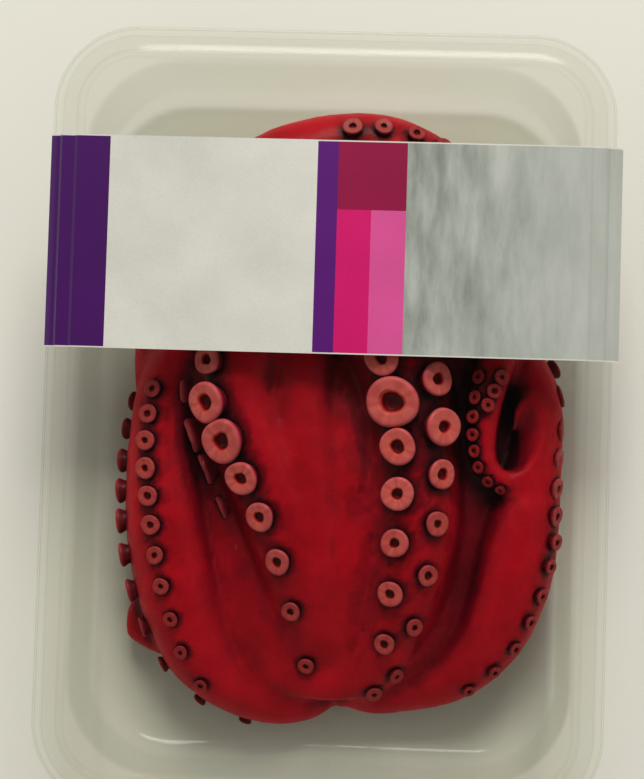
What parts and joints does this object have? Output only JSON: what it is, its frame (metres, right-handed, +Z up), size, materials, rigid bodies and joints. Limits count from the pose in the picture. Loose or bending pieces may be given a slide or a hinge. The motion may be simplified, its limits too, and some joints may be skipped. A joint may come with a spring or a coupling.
{
  "type": "packed whole octopus",
  "caption": "Whole cooked octopus with curled suckered arms, sealed in a clear rectangular tray under clear film and a wide wrap-over label.",
  "frame": {"origin": "centre of the tray's base, on the surface it stands on", "axes": "+X along the label, across the tray; +Y along the tray, towards the end nearer the label; +Z up through the film"},
  "size_m": [0.1926, 0.263, 0.0498],
  "materials": {
    "clear_tray": "clear thermoformed plastic, faintly grey",
    "cooked_octopus": "wet cooked flesh, deep red, with salmon suckers",
    "clear_film": "clear lidding film",
    "printed_label": "smooth coated paper with fields of violet, white, crimson and pink and a grey field"
  },
  "bodies": {
    "root": {"tray": "clear_tray", "octopus": "cooked_octopus", "film": "clear_film", "label": "printed_label"}
  },
  "joints": []
}
